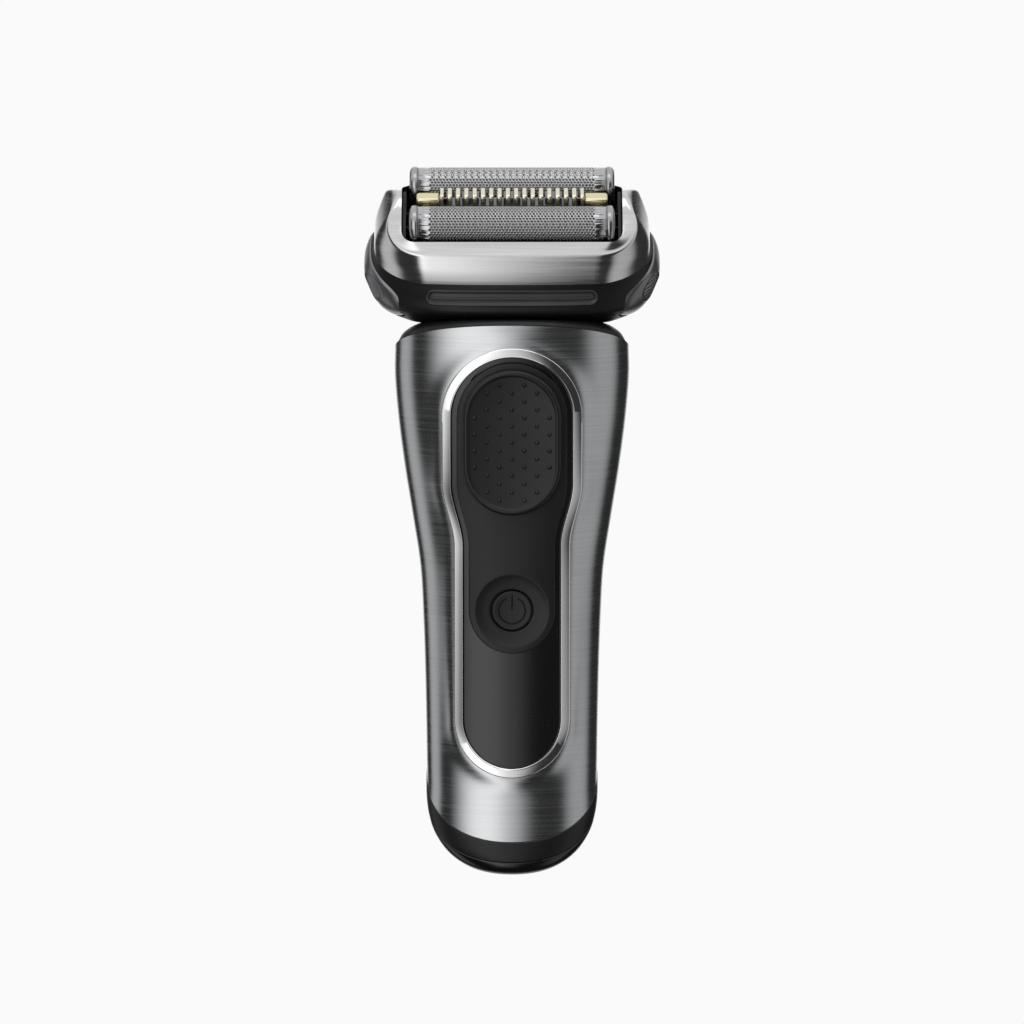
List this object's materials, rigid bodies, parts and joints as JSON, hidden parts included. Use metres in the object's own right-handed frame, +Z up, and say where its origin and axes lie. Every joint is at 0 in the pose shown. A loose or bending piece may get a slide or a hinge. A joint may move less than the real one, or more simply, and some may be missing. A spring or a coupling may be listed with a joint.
{
  "type": "electric foil shaver",
  "caption": "Upright foil shaver with a leaning foil head, oval metal handle, long dark front inlay with thumb slider and power button, and a rear trimmer.",
  "frame": {"origin": "under the middle of the outer box, at the lowest point", "axes": "+Z up along the handle, -Y the front with the button, +X to the right seen from the front"},
  "size_m": [0.0688, 0.0368, 0.1653],
  "materials": {
    "brushed_metal": "brushed",
    "soft_black": "soft touch",
    "matte_black": "fine matte",
    "gloss_black": "glossy",
    "gold": "satin",
    "polished_metal": "polished",
    "dark_glass": "glossy, clear coated",
    "spring_steel": "bright",
    "white_print": "printed",
    "board_green": "solder mask",
    "led": "clear",
    "cell_blue": "sleeve",
    "grey_plastic": "fine matte",
    "blade_steel": "ground",
    "copper": "enamelled wire",
    "grey_button": "satin metallic",
    "satin_chrome": "satin",
    "foil_steel": "polished foil"
  },
  "bodies": {
    "handle": {"front_shell": "brushed_metal", "rear_shell": "soft_black", "base_band": "matte_black", "bottom_cap": "gloss_black", "power_inlet": "matte_black", "inlet_pins": "gold", "inlay_bezel": "polished_metal", "control_panel": "soft_black", "display_window": "dark_glass", "detent_spring": "spring_steel", "circuit_board": "board_green", "board_chips": "matte_black", "tactile_switch": "spring_steel", "status_leds": "led", "battery_cell": "cell_blue", "cell_tabs": "spring_steel", "inner_chassis": "grey_plastic", "housing_screws": "spring_steel", "top_collar": "gloss_black", "neck_post": "matte_black"},
    "thumb_slider": {"lock_slider": "matte_black", "lock_rod": "matte_black"},
    "button": {"power_button": "matte_black", "power_icon": "white_print"},
    "rear_trimmer": {"trimmer_slide": "matte_black", "trimmer_comb": "blade_steel"},
    "rear_trimmer_blade": {"trimmer_blade": "blade_steel"},
    "head": {"head_carrier": "gloss_black", "slot_inlay": "matte_black", "drive_deck": "matte_black", "motor_stator": "blade_steel", "motor_coil": "copper", "pivot_pin": "blade_steel", "release_springs": "spring_steel"},
    "armature": {"motor_armature": "spring_steel", "drive_pins": "blade_steel"},
    "left_release": {"release_pad_left": "grey_button", "release_latch_left": "matte_black"},
    "right_release": {"release_pad_right": "grey_button", "release_latch_right": "matte_black"},
    "cassette": {"cassette_frame": "satin_chrome", "foil_tray": "matte_black", "foil_springs": "spring_steel"},
    "front_foil_unit": {"front_foil": "foil_steel", "front_foil_caps": "grey_plastic"},
    "rear_foil_unit": {"rear_foil": "foil_steel", "rear_foil_caps": "grey_plastic"},
    "middle_unit": {"trimmer_guard": "foil_steel", "trimmer_bars": "gold"},
    "front_blade_unit": {"front_blades": "blade_steel"},
    "rear_blade_unit": {"rear_blades": "blade_steel"},
    "middle_blade_unit": {"middle_blades": "blade_steel"}
  },
  "joints": [
    {"name": "head_swing", "type": "hinge", "parent": "handle", "child": "head", "pos_m": [0, 0.00278, 0.13796], "axis": [1, 0, 0], "range_deg": [-12, 12], "stiffness_Nm_per_rad": 0.6},
    {"name": "cassette_lift", "type": "slide", "parent": "head", "child": "cassette", "axis": [0, -0.5299, 0.848], "range_m": [0, 0.025]},
    {"name": "release_left", "type": "slide", "parent": "head", "child": "left_release", "axis": [1, 0, 0], "range_m": [0, 0.0012], "stiffness_N_per_m": 900, "deforming": ["release_springs"]},
    {"name": "release_right", "type": "slide", "parent": "head", "child": "right_release", "axis": [-1, 0, 0], "range_m": [0, 0.0012], "stiffness_N_per_m": 900},
    {"name": "front_foil_float", "type": "slide", "parent": "cassette", "child": "front_foil_unit", "axis": [0, -0.5299, 0.848], "range_m": [-0.0012, 0], "stiffness_N_per_m": 500, "springref_m": 0.0005, "deforming": ["foil_springs"]},
    {"name": "rear_foil_float", "type": "slide", "parent": "cassette", "child": "rear_foil_unit", "axis": [0, -0.5299, 0.848], "range_m": [-0.0012, 0], "stiffness_N_per_m": 500, "springref_m": 0.0005},
    {"name": "middle_float", "type": "slide", "parent": "cassette", "child": "middle_unit", "axis": [0, -0.5299, 0.848], "range_m": [-0.0012, 0], "stiffness_N_per_m": 500, "springref_m": 0.0005},
    {"name": "armature_slide", "type": "slide", "parent": "head", "child": "armature", "axis": [1, 0, 0], "range_m": [-0.001, 0.001], "stiffness_N_per_m": 800},
    {"name": "front_blade_slide", "type": "slide", "parent": "front_foil_unit", "child": "front_blade_unit", "axis": [1, 0, 0], "range_m": [-0.001, 0.001]},
    {"name": "rear_blade_slide", "type": "slide", "parent": "rear_foil_unit", "child": "rear_blade_unit", "axis": [1, 0, 0], "range_m": [-0.001, 0.001]},
    {"name": "middle_blade_slide", "type": "slide", "parent": "middle_unit", "child": "middle_blade_unit", "axis": [1, 0, 0], "range_m": [-0.001, 0.001]},
    {"name": "thumb_slide", "type": "slide", "parent": "handle", "child": "thumb_slider", "axis": [0, 0, 1], "range_m": [-0.0035, 0], "deforming": ["detent_spring"]},
    {"name": "button_press", "type": "slide", "parent": "handle", "child": "button", "axis": [0, 1, 0], "range_m": [0, 0.0006], "stiffness_N_per_m": 1500},
    {"name": "trimmer_raise", "type": "slide", "parent": "handle", "child": "rear_trimmer", "axis": [0, 0, 1], "range_m": [0, 0.012]},
    {"name": "trimmer_blade_slide", "type": "slide", "parent": "rear_trimmer", "child": "rear_trimmer_blade", "axis": [1, 0, 0], "range_m": [-0.0008, 0.0008]}
  ],
  "couplings": [
    {"joint": "front_blade_slide", "follows": "armature_slide", "ratio": 1},
    {"joint": "rear_blade_slide", "follows": "armature_slide", "ratio": 1},
    {"joint": "middle_blade_slide", "follows": "armature_slide", "ratio": 1},
    {"joint": "trimmer_blade_slide", "follows": "armature_slide", "ratio": 0.8}
  ]
}
